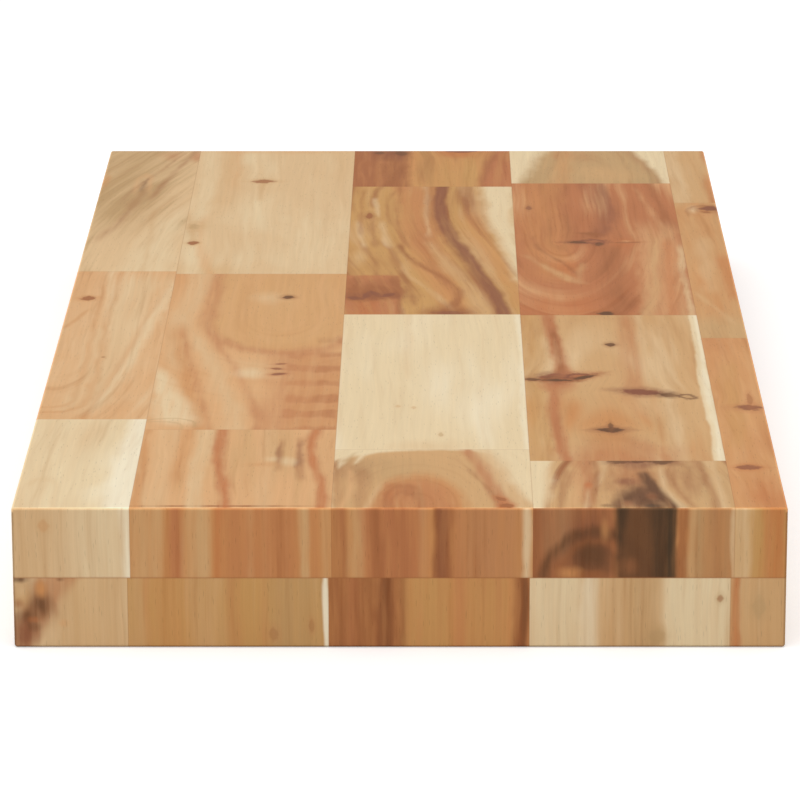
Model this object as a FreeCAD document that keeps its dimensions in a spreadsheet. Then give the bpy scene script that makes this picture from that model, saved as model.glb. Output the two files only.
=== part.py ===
# Block-glued acacia table top: two layers of short staves, glued face to face,
# trimmed to size and eased along every outer edge.
#
# Millimetres, +Z up. The origin is in the middle of the underside.
# The front end faces -Y and the staves run along Y. In each layer the strips are
# lettered from -X to +X, and the staves of a strip are numbered from the front.

import FreeCAD, Part
import Sketcher
import os

doc = FreeCAD.newDocument("table_top")


# Driving sizes

SIZES = {
    # the finished block
    "top_width": 200,
    "top_length": 400,
    "upper_thickness": 19,
    "lower_thickness": 19,
    "arris_radius": 0.8,
    # the sawn staves, and the shortest or narrowest offcut that is still glued in
    "stave_width": 52,
    "stave_length": 165,
    "least_offcut": 12,
    # what is left of the strip at the -X edge once it is trimmed
    "upper_edge_strip": 30.4,
    "lower_edge_strip": 29.6,
    # the upper layer's stave lengths, each strip from the finished front end
    "upper_a1": 80.4,
    "upper_a2": 159,
    "upper_b1": 70.4,
    "upper_b2": 166,
    "upper_c1": 51.8,
    "upper_c2": 137.6,
    "upper_c3": 159.2,
    "upper_d1": 41.4,
    "upper_d2": 147.2,
    "upper_d3": 164.4,
    "upper_e1": 163.4,
    "upper_e2": 163.2,
    # the lower layer's, whose end joints lie away from those above them
    "lower_a1": 122,
    "lower_a2": 161,
    "lower_b1": 40,
    "lower_b2": 158,
    "lower_b3": 163,
    "lower_c1": 98,
    "lower_c2": 164,
    "lower_d1": 150,
    "lower_d2": 160,
    "lower_e1": 78,
    "lower_e2": 162,
}

# The named lengths of each strip. A strip is filled up with staves of stave_length,
# and a block with more strips than these starts again at the first.
STRIPS = {
    "upper": [
        ["upper_a1", "upper_a2"],
        ["upper_b1", "upper_b2"],
        ["upper_c1", "upper_c2", "upper_c3"],
        ["upper_d1", "upper_d2", "upper_d3"],
        ["upper_e1", "upper_e2"],
    ],
    "lower": [
        ["lower_a1", "lower_a2"],
        ["lower_b1", "lower_b2", "lower_b3"],
        ["lower_c1", "lower_c2"],
        ["lower_d1", "lower_d2"],
        ["lower_e1", "lower_e2"],
    ],
}

sheet = doc.addObject("Spreadsheet::Sheet", "sizes")
for row, (name, value) in enumerate(SIZES.items(), start=1):
    sheet.set("A%d" % row, name)
    sheet.set("B%d" % row, str(value))
    sheet.setAlias("B%d" % row, name)
doc.recompute()


def size(name):
    """The value that the sheet holds under this name."""
    return float(getattr(sheet, name))


def cells(names):
    """The expression that adds up the named cells of the sheet."""
    return " + ".join("sizes." + name for name in names)


# The finished outline: a plain block with every outer edge rounded to one radius

def finished_outline():
    """The block as it leaves the saw and the sander, with no joints in it."""
    body = doc.addObject("PartDesign::Body", "finished_outline")
    plane = [f for f in body.Origin.OriginFeatures if f.Role == "XY_Plane"][0]

    plan = body.newObject("Sketcher::SketchObject", "plan")
    plan.AttachmentSupport = [(plane, "")]
    plan.MapMode = "FlatFace"
    x = size("top_width") / 2
    y = size("top_length") / 2
    corners = [FreeCAD.Vector(*p) for p in ((-x, -y, 0), (x, -y, 0), (x, y, 0), (-x, y, 0))]
    for start in range(4):
        plan.addGeometry(Part.LineSegment(corners[start], corners[(start + 1) % 4]), False)
    for start in range(4):
        plan.addConstraint(Sketcher.Constraint("Coincident", start, 2, (start + 1) % 4, 1))
    for side in (0, 2):
        plan.addConstraint(Sketcher.Constraint("Horizontal", side))
        plan.addConstraint(Sketcher.Constraint("Vertical", side + 1))
    # two opposite corners lie evenly about the origin
    plan.addConstraint(Sketcher.Constraint("Symmetric", 0, 1, 1, 2, -1, 1))
    width = plan.addConstraint(Sketcher.Constraint("DistanceX", 0, 1, 0, 2, 2 * x))
    length = plan.addConstraint(Sketcher.Constraint("DistanceY", 1, 1, 1, 2, 2 * y))
    plan.setExpression("Constraints[%d]" % width, "sizes.top_width")
    plan.setExpression("Constraints[%d]" % length, "sizes.top_length")

    block = body.newObject("PartDesign::Pad", "block")
    block.Profile = plan
    block.setExpression("Length", cells(["lower_thickness", "upper_thickness"]))
    doc.recompute()

    eased = body.newObject("PartDesign::Fillet", "eased_edges")
    eased.Base = (block, ["Edge1"])
    eased.UseAllEdges = True
    eased.setExpression("Radius", "sizes.arris_radius")
    body.Tip = eased
    doc.recompute()
    return body


# The staves

def joints(named, stock, overall):
    """Where the joints of a row lie, as expressions measured from the row's start.

    The named pieces come first, and pieces of the stock size fill the row. The last
    piece runs on to the end, so that no offcut is too short to glue."""
    names = []
    found = []
    while True:
        names.append(named[len(names)] if len(names) < len(named) else stock)
        if sum(size(name) for name in names) > size(overall) - size("least_offcut"):
            return found
        found.append(cells(names))


def spans(named, stock, overall):
    """The pieces of a row as pairs of expressions, where each starts and ends."""
    ends = ["0"] + joints(named, stock, overall) + [cells([overall])]
    return list(zip(ends, ends[1:]))


def stave(name, across, along, layer, outline):
    """One stave: a sawn block, cut back to the finished outline where it meets it."""
    sawn = doc.addObject("Part::Box", "sawn_" + name)
    sawn.setExpression("Length", "(%s) - (%s)" % (across[1], across[0]))
    sawn.setExpression("Width", "(%s) - (%s)" % (along[1], along[0]))
    sawn.setExpression("Height", "sizes.%s_thickness" % layer)
    sawn.setExpression("Placement.Base.x", "(%s) - sizes.top_width / 2" % across[0])
    sawn.setExpression("Placement.Base.y", "(%s) - sizes.top_length / 2" % along[0])
    if layer == "upper":
        sawn.setExpression("Placement.Base.z", "sizes.lower_thickness")

    trimmed = doc.addObject("Part::Common", name)
    trimmed.Base = sawn
    trimmed.Tool = outline
    trimmed.Label = name
    return trimmed


def layer_of_staves(layer, outline):
    """Every stave of one layer, strip by strip."""
    made = []
    strips = spans([layer + "_edge_strip"], "stave_width", "top_width")
    for number, across in enumerate(strips):
        letter = chr(ord("a") + number)
        named = STRIPS[layer][number % len(STRIPS[layer])]
        for place, along in enumerate(spans(named, "stave_length", "top_length"), start=1):
            name = "%s_stave_%s%d" % (layer, letter, place)
            made.append(stave(name, across, along, layer, outline))
    return made


outline = finished_outline()
staves = layer_of_staves("lower", outline) + layer_of_staves("upper", outline)
doc.recompute()


# Every object has to be sound before anything is written

for item in doc.Objects:
    if "Invalid" in item.State or "Error" in item.State:
        raise RuntimeError("%s did not compute: %s" % (item.Label, item.State))
for item in staves:
    if item.Shape.isNull() or not item.Shape.isValid() or len(item.Shape.Solids) != 1:
        raise RuntimeError("%s is not one sound solid" % item.Label)

block_volume = outline.Shape.Volume
stave_volume = sum(item.Shape.Volume for item in staves)
if abs(stave_volume - block_volume) > 1e-6 * block_volume:
    raise RuntimeError("the staves don't fill the block")

os.makedirs("parts", exist_ok=True)
for item in staves:
    item.Shape.exportStep("parts/%s.step" % item.Label)
print("%d staves, %.0f mm3" % (len(staves), stave_volume))
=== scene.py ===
# Block-glued acacia table top: the wood of each stave, the light and the camera.

import bpy
import math
from bpy.props import FloatProperty, FloatVectorProperty, PointerProperty
from bpy.types import Operator, Panel, PropertyGroup
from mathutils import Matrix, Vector
from types import SimpleNamespace


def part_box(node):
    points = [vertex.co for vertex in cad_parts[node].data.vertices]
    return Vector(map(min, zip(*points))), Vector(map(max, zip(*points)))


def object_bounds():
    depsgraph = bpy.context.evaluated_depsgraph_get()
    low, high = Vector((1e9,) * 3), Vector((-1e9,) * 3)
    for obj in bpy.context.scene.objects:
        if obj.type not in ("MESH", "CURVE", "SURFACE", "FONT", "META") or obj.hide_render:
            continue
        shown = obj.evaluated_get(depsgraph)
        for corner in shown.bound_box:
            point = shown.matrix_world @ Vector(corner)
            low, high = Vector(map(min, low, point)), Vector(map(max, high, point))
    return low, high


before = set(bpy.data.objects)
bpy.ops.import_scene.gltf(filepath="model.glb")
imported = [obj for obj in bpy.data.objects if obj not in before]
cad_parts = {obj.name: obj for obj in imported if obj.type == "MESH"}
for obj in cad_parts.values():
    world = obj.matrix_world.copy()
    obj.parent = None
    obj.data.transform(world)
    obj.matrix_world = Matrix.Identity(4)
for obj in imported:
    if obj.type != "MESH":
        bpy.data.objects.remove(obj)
cad_low, cad_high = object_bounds()

bl_info = {
    "name": "Acacia table top",
    "version": (1, 0, 0),
    "blender": (4, 5, 0),
    "location": "3D View > Sidebar > Table top",
    "description": "Finishes the staves of a block-glued acacia table top and sets its stage",
    "category": "Object",
}

# Fixed values

# patterns are drawn in millimetres, while the scene is in metres
MM = 1000.0
# how far into the wood a mark goes from its face, and from a sawn end
MARK_DEPTH = 12.0
END_MARK_DEPTH = 100.0
# how far a knot bends the grain, across and along, as a share of its half size
KNOT_REACH = (1.8, 2.8)
# marks from this strength on don't come and go
STEADY = 0.95
# between these depths the figure of a sawn front end gives way to the grain behind it
END_FADE = (0.15, 0.45)
# the noise of each stave starts at a place of its own, and that of its end a little further on
FIRST_NUMBER = {"upper": 1, "lower": 40}
SEED_STEP = 37.3
END_SEED = 11.0
# the knots of hidden staves move on by this much from one stave to the next
KNOT_STEP = (13, 47)

# how dark the lines of glue are, between the staves of a layer and between the layers
GLUE_STRENGTH = 0.35
LAYER_STRENGTH = {"upper": 0.5, "lower": 0.3}
# sides that meet no other stave are put this far out, so that they get no line of glue
OUTSIDE = 50.0
# sides that are nearer than this, in metres, lie in one plane
SAME_PLANE = 1e-5

# what the veins do to the colour under them, and the tints of the painted highlight on the top face's edges
# and of the painted shade on the slab's other outer edges
VEIN_DARKER = (0.78, 0.66, 0.56, 1.0)
VEIN_PALER = (1.08, 1.11, 1.14, 1.0)
EDGE_SHADE_TINT = (0.42, 0.38, 0.36, 1.0)
EDGE_HIGHLIGHT_TINT = (1.42, 1.4, 1.38, 1.0)

# the stage, in metres; the gap keeps the floor and the underside from sharing one place
FLOOR_SIZE = 12.0
FLOOR_GAP = 0.0001
FLOOR_GLOW = 0.36
LAMP_SIZE = 1.6
LAMP_PLACE = (-0.3, -0.6, 1.95)
NEAREST_SEEN = 0.05
FARTHEST_SEEN = 50.0
# the width of the camera's frame, in millimetres
FRAME_WIDTH = 36.0


# Tones and sizes that a user would change

def srgb(red, green, blue):
    """A colour as a picture editor gives it, 0 to 255, made linear."""
    linear = []
    for value in (red, green, blue):
        share = value / 255
        linear.append(share / 12.92 if share <= 0.04045 else ((share + 0.055) / 1.055) ** 2.4)
    return tuple(linear)


def tone(label, words, red, green, blue):
    """A wood colour that the sidebar shows as a swatch."""
    return FloatVectorProperty(
        name=label, description=words, subtype="COLOR", size=3, min=0, max=1,
        default=srgb(red, green, blue))


def amount(label, words, value):
    """A share from nought to one, which the sidebar shows as a slider."""
    return FloatProperty(name=label, description=words, default=value, min=0, max=1, subtype="FACTOR")


def width(label, words, value):
    """A small width or depth in metres."""
    return FloatProperty(name=label, description=words, default=value, min=0, unit="LENGTH")


class AcaciaTones(PropertyGroup):
    """The colours that acacia takes from sapwood to knot."""
    white: tone("White", "The palest sapwood", 246, 232, 202)
    cream: tone("Cream", "Sapwood", 234, 210, 169)
    sand: tone("Sand", "Where sapwood turns to heartwood", 223, 188, 143)
    tan: tone("Tan", "Pale heartwood", 211, 167, 117)
    honey: tone("Honey", "Yellow heartwood", 203, 154, 95)
    olive: tone("Olive", "Greenish grey heartwood", 192, 156, 110)
    apricot: tone("Apricot", "Pale orange heartwood", 222, 172, 122)
    amber: tone("Amber", "Orange heartwood", 206, 144, 90)
    clay: tone("Clay", "Reddish heartwood", 190, 122, 80)
    rust: tone("Rust", "Orange red streaks", 196, 116, 68)
    chestnut: tone("Chestnut", "Brown heartwood", 160, 100, 62)
    plum: tone("Plum", "Purple brown streaks", 140, 87, 64)
    umber: tone("Umber", "Dark streaks and knots", 110, 75, 51)
    walnut: tone("Walnut", "The darkest streaks", 76, 60, 45)


class WoodFinish(PropertyGroup):
    """The fine structure of the wood and its oil finish, with the painted highlight and painted shade on
    the slab's outer edges.
    """
    glue_line: width("Glue line", "Width of the line where staves of one layer meet", 0.00018)
    layer_line: width("Layer line", "Width of the line where the two layers meet", 0.00045)
    # how far in from the slab's outer edges the painted highlight and painted shade reach, and how strong
    # they are
    eased_edge: width("Eased edge", "How far the rounded edge reaches", 0.0008)
    edge_highlight: amount("Edge highlight", "How much paler the edges of the top face are", 0.9)
    edge_shade: amount("Edge shade", "How much darker the other outer edges are", 0.6)
    veins: amount("Veins", "How strongly the lines of growth show", 0.55)
    fibres: amount("Fibres", "How strongly the fibres show", 0.16)
    pores: amount("Pores", "How dark the open pores are", 0.16)
    relief: width("Relief", "Depth of the grain that the finish leaves open", 0.00003)
    roughness: amount("Roughness", "Roughness of the oiled surface", 0.55)
    gloss: amount("Gloss", "Specular level of the oiled surface", 0.03)


class StageSetup(PropertyGroup):
    """The camera and the light."""
    camera_place: FloatVectorProperty(
        name="Camera", description="Where the camera stands", size=3, subtype="TRANSLATION", unit="LENGTH",
        default=(0.00844, -1.3757, 0.4095))
    camera_dip: FloatProperty(
        name="Dip", description="How far the camera looks below the horizon", subtype="ANGLE",
        default=0.28356)
    lens: FloatProperty(
        name="Lens", description="Focal length on a 36 mm wide frame", default=215.6, unit="CAMERA")
    shift: FloatProperty(
        name="Shift", description="Sideways shift of the frame", default=-0.0404)
    sky: FloatProperty(
        name="Sky", description="Strength of the even light from all round", default=0.68, min=0)
    lamp: FloatProperty(
        name="Lamp", description="Power of the soft box overhead", default=13.0, min=0, unit="POWER")
    floor: FloatVectorProperty(
        name="Floor", description="Colour of the floor", subtype="COLOR", size=3, min=0, max=1,
        default=(0.86, 0.86, 0.86))


# Node helpers

class Wire:
    """What a node gives. Wires are added, multiplied and so on like numbers, each time by a new node."""

    def __init__(self, socket):
        self.socket = socket

    def __add__(self, other):
        return calc("ADD", self, other)

    def __sub__(self, other):
        return calc("SUBTRACT", self, other)

    def __rsub__(self, other):
        return calc("SUBTRACT", other, self)

    def __mul__(self, other):
        return calc("MULTIPLY", self, other)

    def __truediv__(self, other):
        return calc("DIVIDE", self, other)


def feed(socket, value):
    """Links a socket to a wire, or sets its value."""
    if isinstance(value, Wire):
        socket.id_data.links.new(value.socket, socket)
    else:
        socket.default_value = value


def tree_of(values):
    """The tree that the wires among these values are in."""
    return next(value.socket.id_data for value in values if isinstance(value, Wire))


def new_node(kind, *values):
    """A node beside those that the wires come from. The values feed its first sockets."""
    node = tree_of(values).nodes.new("ShaderNode" + kind)
    for socket, value in zip(node.inputs, values):
        feed(socket, value)
    return node


def calc(operation, *values):
    """The result of a Math node, or of a Vector Math node where the first value is a vector."""
    vector = isinstance(values[0], Wire) and values[0].socket.type == "VECTOR"
    node = new_node("VectorMath" if vector else "Math", *values)
    node.operation = operation
    return Wire(node.outputs["Vector" if vector and operation != "LENGTH" else "Value"])


def split(vector):
    """The x, y and z of a vector."""
    return [Wire(output) for output in new_node("SeparateXYZ", vector).outputs]


def join(x, y, z):
    """A vector from its x, y and z."""
    return Wire(new_node("CombineXYZ", x, y, z).outputs[0])


def ease(value, low, high, start=0.0, end=1.0):
    """Start below low, end above high, and a smooth step between."""
    node = new_node("MapRange", value, low, high, start, end)
    node.interpolation_type = "SMOOTHSTEP"
    return Wire(node.outputs[0])


def ease_down(value, low, high):
    """One below low, nought above high, and a smooth step between."""
    return ease(value, low, high, 1.0, 0.0)


def mix(factor, first, second, mode="MIX"):
    """Two colours mixed."""
    node = tree_of((factor, first, second)).nodes.new("ShaderNodeMix")
    node.data_type = "RGBA"
    node.blend_type = mode
    node.clamp_result = True
    # a mix of colours has its factor in the first socket and its colours in the seventh and eighth
    for number, value in ((0, factor), (6, first), (7, second)):
        feed(node.inputs[number], value)
    return Wire(node.outputs[2])


def noise(vector, detail=2.0, roughness=0.5):
    """Noise between 0 and 1, mostly near a half."""
    node = new_node("TexNoise", vector)
    node.inputs["Scale"].default_value = 1.0
    node.inputs["Detail"].default_value = detail
    node.inputs["Roughness"].default_value = roughness
    return Wire(node.outputs["Fac"])


COLOR_SOCKETS = ("Color", "Tone", "Light", "Middle", "Dark", "Heart", "Rim")
VECTOR_SOCKETS = ("Position", "Grain", "Centre", "Reach", "Pith", "Low", "High", "Size", "Rings")


def new_group(name, inputs, outputs):
    """An empty shader group with its sockets, which a name in small letters finds.

    Returns what comes in and what goes out."""
    tree = bpy.data.node_groups.new(name, "ShaderNodeTree")
    for labels, way in ((inputs, "INPUT"), (outputs, "OUTPUT")):
        for label in labels.split():
            kind = "Color" if label in COLOR_SOCKETS else "Vector" if label in VECTOR_SOCKETS else "Float"
            tree.interface.new_socket(name=label, in_out=way, socket_type="NodeSocket" + kind)
    start = tree.nodes.new("NodeGroupInput").outputs
    given = SimpleNamespace(**{label.lower(): Wire(start[label]) for label in inputs.split()})
    return given, tree.nodes.new("NodeGroupOutput").inputs


def use_group(name, values):
    """A shared group placed in a material with its own values. Returns its outputs."""
    node = tree_of(values.values()).nodes.new("ShaderNodeGroup")
    node.node_tree = bpy.data.node_groups[name]
    for label, value in values.items():
        feed(node.inputs[label], value)
    return {output.name: Wire(output) for output in node.outputs}


# Shared effects

# positions are in millimetres, x across the stave, y along it from its front end
# and z up from its underside

def make_wandering_grain():
    """Bends straight grain sideways, slowly along the stave and a little in ripples."""
    given, result = new_group("Wandering grain", "Position Seed Sway Ripple", "Grain")
    seeded = given.position + join(0.0, given.seed, 0.0)
    slow = noise(seeded * (0.022, 0.016, 0.03), 1.0)
    quick = noise(seeded * (0.11, 0.055, 0.06))
    shift = (slow - 0.5) * given.sway + (quick - 0.5) * given.ripple
    feed(result["Grain"], given.position + join(shift, 0.0, 0.0))


def make_grain_round_knot():
    """Parts the grain round a knot."""
    given, result = new_group("Grain round a knot", "Grain Centre Reach Push", "Grain")
    away = given.grain - given.centre
    reach = calc("LENGTH", away / given.reach)
    near = calc("EXPONENT", reach * reach * -1.0)
    inward = split(away)[0] * (near * given.push)
    feed(result["Grain"], given.grain - join(inward, 0.0, 0.0))


def make_growth_rings():
    """Rings round a pith that leans as it runs along the stave, coloured in uneven bands.

    Where the lean brings the pith up to the face, the rings close in arches."""
    given, result = new_group(
        "Growth rings", "Grain Pith Lean Spacing Seed Contrast Light Middle Dark", "Color Rings")
    x, y, z = split(given.grain - given.pith)
    depth = calc("MAXIMUM", y * given.lean + z, 0.0)
    radius = calc("LENGTH", join(x, depth, 0.0))
    feed(result["Rings"], join(radius, y, 0.0))
    turns = radius / given.spacing + given.seed
    # the bands change along the stave too, so that none is ruled
    along = y * 0.007
    bands = noise(join(turns, along, 0.0), 1.5)
    lines = noise(join(turns * 4.5, along * 3.0, 7.0), 1.0)
    clouds = noise(given.grain * (0.045, 0.013, 0.05) + join(given.seed, 0.0, 0.0), 1.0)
    share = lines * 0.3 + bands + clouds * 0.7
    share = (share - 1.0) * given.contrast + 0.5
    pale = mix(ease(share, 0.5, 0.8), given.middle, given.light)
    feed(result["Color"], mix(ease(share, 0.5, 0.2), pale, given.dark))


def on_curve(share, at, slant, bend, twist):
    """The place that a smooth curve has reached after a share of its way."""
    return share * (share * (share * twist + bend) + slant) + at


def make_streak():
    """A coloured streak along the grain, on a smooth curve from where it begins to where it ends."""
    given, result = new_group(
        "Streak",
        "Color Across Along Ragged Tone Strength Begin Until Fade At Slant Bend Twist Width Taper Soft",
        "Color")
    share = (given.along - given.begin) / (given.until - given.begin)
    centre = on_curve(share, given.at, given.slant, given.bend, given.twist)
    half = (share * given.taper + given.width) * 0.5
    off = calc("ABSOLUTE", given.across - centre) + given.ragged * calc("SQRT", given.soft)
    shown = ease_down(off, half - given.soft, half + given.soft)
    shown = shown * ease(given.along, given.begin - given.fade, given.begin)
    shown = shown * ease_down(given.along, given.until, given.until + given.fade)
    feed(result["Color"], mix(shown * given.strength, given.color, given.tone))


def make_arch():
    """Where the saw cuts through cone upon cone of growth: a rounded arch, filled or as a line."""
    given, result = new_group(
        "Arch",
        "Color Across Along Ragged Tone Strength Axis Springs Half Rise Pointed Legs Thick Soft Outside",
        "Color")
    # a negative rise closes the arch towards the front
    past = (given.along - given.springs) / given.rise
    behind = calc("MAXIMUM", past * -1.0, 0.0) * calc("ABSOLUTE", given.rise)
    sideways = (given.across - given.axis) / given.half
    forward = calc("MAXIMUM", past, 0.0)
    rounded = calc("LENGTH", join(sideways, forward, 0.0))
    pointed = calc("ABSOLUTE", sideways) + forward
    reach = (pointed - rounded) * given.pointed + rounded
    beyond = (reach - 1.0) * given.half + given.ragged * calc("SQRT", given.soft)
    minus = given.soft * -1.0
    within = ease_down(beyond, minus, given.soft)
    line = within * ease(beyond + given.thick, minus, given.soft)
    shown = (1.0 - within - line) * given.outside + line
    shown = shown * ease_down(behind, given.legs * 0.3, given.legs)
    feed(result["Color"], mix(shown * given.strength, given.color, given.tone))


def make_patch():
    """A soft oval patch of another tone."""
    given, result = new_group("Patch", "Color Position Ragged Centre Size Tone Strength", "Color")
    reach = calc("LENGTH", (given.position - given.centre) / given.size) + given.ragged * 0.35
    feed(result["Color"], mix(ease_down(reach, 0.1, 1.25) * given.strength, given.color, given.tone))


def make_ripples():
    """Fiddleback: bars across the grain, where the fibres run in waves."""
    given, result = new_group(
        "Ripples", "Color Across Along Ragged Tone Strength Left Right Begin Until Spacing", "Color")
    uneven = noise(join(given.across * 0.12, given.along * 0.09, 3.0), 1.0)
    wave = calc("SINE", (uneven * 9.0 + given.along) / given.spacing * (2 * math.pi))
    shown = ease(given.ragged * 1.2 + wave, -0.5, 0.9)
    shown = shown * ease(given.across, given.left - 1.0, given.left + 1.0)
    shown = shown * ease_down(given.across, given.right - 1.5, given.right)
    shown = shown * ease(given.along, given.begin - 4.0, given.begin)
    shown = shown * ease_down(given.along, given.until, given.until + 6.0)
    feed(result["Color"], mix(shown * given.strength, given.color, given.tone))


def make_knot():
    """A knot, round or pointed: a dark heart, perhaps with a paler eye, and a halo of darker wood."""
    given, result = new_group(
        "Knot", "Color Position Centre Size Turn Pointed Eye Heart Rim Strength", "Color")
    turned = new_node("VectorRotate", given.position - given.centre)
    turned.rotation_type = "Z_AXIS"
    feed(turned.inputs["Angle"], given.turn)
    shaped = calc("ABSOLUTE", Wire(turned.outputs[0]) / given.size)
    rounded = calc("LENGTH", shaped)
    x, y, z = split(shaped)
    reach = (x + y + z - rounded) * given.pointed + rounded
    rough = noise(given.position * (0.45, 0.35, 0.4), 2.0, 0.6)
    reach = (rough - 0.5) * 1.1 + reach
    painted = mix(ease_down(reach, 0.7, 2.2) * given.strength * 0.5, given.color, given.rim)
    painted = mix(ease_down(reach, 0.6, 1.15) * given.strength, painted, given.heart)
    feed(result["Color"], mix(ease_down(reach, 0.2, 0.65) * given.eye, painted, given.rim))


def make_fine_grain():
    """Veins, fibres and pores: lines on the long faces, dots on the sawn ends."""
    given, result = new_group("Fine grain", "Color Rings Grain Seed Veins Fibres Pores", "Color Height")
    shift = join(given.seed, given.seed, 0.0)
    veins = noise((given.rings + shift) * (0.38, 0.013, 1.0), 3.0, 0.6)
    painted = mix(ease(veins, 0.5, 0.78) * given.veins, given.color, VEIN_DARKER, "MULTIPLY")
    painted = mix(ease(veins, 0.5, 0.22) * given.veins, painted, VEIN_PALER, "MULTIPLY")
    seeded = given.grain + shift
    fibres = noise(seeded * (1.4, 0.03, 0.5), 3.0, 0.6) - 0.5
    cells = new_node("TexVoronoi", seeded * (1.5, 0.16, 1.5))
    cells.inputs["Scale"].default_value = 1.0
    pores = ease_down(Wire(cells.outputs["Distance"]), 0.07, 0.2)
    # shade is one where nothing changes
    shade = (fibres * given.fibres + 1.0) * (1.0 - pores * given.pores)
    feed(result["Color"], mix(1.0, painted, join(shade, shade, shade), "MULTIPLY"))
    feed(result["Height"], fibres * 0.6 - pores)


def make_glue_line():
    """A thin dark line where a stave meets its neighbours."""
    given, result = new_group("Glue line", "Color Position Low High Width Strength Tone", "Color")
    nearest, *others = split(given.position - given.low) + split(given.high - given.position)
    for distance in others:
        nearest = calc("MINIMUM", nearest, distance)
    line = ease_down(nearest, 0.0, given.width)
    feed(result["Color"], mix(line * given.strength, given.color, given.tone))


def make_edge_light_and_shade():
    """The slab's rounded outer edges with painted light: a painted highlight along the edges of the top
    face, and painted shade along all the others.
    """
    given, result = new_group("Eased edge", "Color Position Low High Radius Paler Darker", "Color")
    low = split(given.position - given.low)
    high = split(given.high - given.position)
    x, y, z = [calc("MINIMUM", *pair) for pair in zip(low, high)]
    # the middle one of the three depths says how near the closest edge is
    near = calc("MAXIMUM", calc("MINIMUM", x, y), calc("MINIMUM", calc("MAXIMUM", x, y), z))
    rim = ease_down(near, given.radius * 0.3, given.radius)
    upper = rim * ease_down(high[2], given.radius, given.radius * 2.0)
    # a painted highlight along the edges of the top face
    painted = mix(upper * given.paler, given.color, EDGE_HIGHLIGHT_TINT, "MULTIPLY")
    # painted shade along the slab's other outer edges: the bottom ones, the back ones and the upright
    # corners
    feed(result["Color"], mix((rim - upper) * given.darker, painted, EDGE_SHADE_TINT, "MULTIPLY"))


def make_wood_groups():
    """Builds the shared groups once."""
    if "Growth rings" in bpy.data.node_groups:
        return
    for make in (make_wandering_grain, make_grain_round_knot, make_growth_rings, make_streak, make_arch,
                 make_patch, make_ripples, make_knot, make_fine_grain, make_glue_line, make_edge_light_and_shade):
        make()


# How a stave's figure is written down

# all places are in millimetres, across the stave from its left side and along it from
# its front end; each mark has a tone and a strength from nought to one, and soft is
# how far the edges of a streak or an arch fade

def streak(tone_name, strength, path, wide, soft=1.2, span=None, fade=12.0):
    """A streak of one tone.

    path holds one to four evenly spaced places across the stave, from where the streak begins to where it
    ends. wide is one width, or the first and the last. span is where it begins and ends along the stave,
    and it fades out over a length of fade beyond that."""
    first, last = wide if isinstance(wide, tuple) else (wide, wide)
    return {"kind": "Streak", "tone": tone_name, "strength": strength, "span": span,
            "path": path if isinstance(path, list) else [path],
            "values": {"Width": first, "Taper": last - first, "Soft": soft, "Fade": fade}}


def arch(tone_name, strength, axis, springs, half, height, thick=300.0, soft=1.2, pointed=0.0, legs=900.0,
         outside=False):
    """An arch of one tone, which springs at one place along the stave and closes towards the back.

    axis is the place of its middle, half is half its width, and height is how far it runs before it closes.
    With a negative height it closes towards the front. thick is the line's width, and a very thick one
    fills it. legs is where its legs have faded out, and outside paints what is outside it."""
    return {"kind": "Arch", "tone": tone_name, "strength": strength, "values": {
        "Axis": axis, "Springs": springs, "Half": half, "Rise": height, "Thick": thick, "Soft": soft,
        "Pointed": pointed, "Legs": legs, "Outside": 1.0 if outside else 0.0}}


def patch(tone_name, strength, at, size):
    """A soft oval patch of one tone: its centre and half size."""
    return {"kind": "Patch", "tone": tone_name, "strength": strength, "at": at, "size": size}


def ripples(tone_name, strength, left, right, spacing, span):
    """Bars across the grain, between two places across the stave and two along it."""
    return {"kind": "Ripples", "tone": tone_name, "strength": strength, "values": {
        "Left": left, "Right": right, "Spacing": spacing, "Begin": span[0], "Until": span[1]}}


def knot(at, size, turn=0.0, heart="umber", rim="chestnut", strength=1.0, push=0.35, pointed=0.3, eye=0.0):
    """A knot: its centre, half size and turn in degrees, and the tones of its heart and rim.

    push is how far it parts the grain, pointed is one for a diamond, and eye is how pale its middle is."""
    return {"at": at, "size": size, "turn": turn, "heart": heart, "rim": rim, "strength": strength,
            "push": push, "pointed": pointed, "eye": eye}


def figure(light, middle, dark, pith=(-40, 0, -30), lean=0.03, spacing=6.0, contrast=0.8, course=(0,),
           sway=4.0, ripple=1.2, veins=1.0, marks=(), knots=()):
    """The tones and the grain of one face, or of a whole stave. The marks are laid on in their order.

    The rings lie round the pith, which sinks by lean for each millimetre along the stave. course holds one
    to four evenly spaced places across the stave, through which the rings run along it."""
    return {"tones": (light, middle, dark), "pith": pith, "lean": lean, "spacing": spacing,
            "contrast": contrast, "course": course, "sway": sway, "ripple": ripple, "veins": veins,
            "marks": marks, "knots": knots}


def end_figure(light, middle, dark, marks=(), knots=()):
    """A sawn end, whose rings stand nearly upright and change little."""
    return figure(light, middle, dark, pith=(-90, 0, 0), lean=0.0, spacing=4.0, contrast=0.6, sway=2.0,
                  ripple=0.5, marks=marks, knots=knots)


# The staves that show

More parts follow.
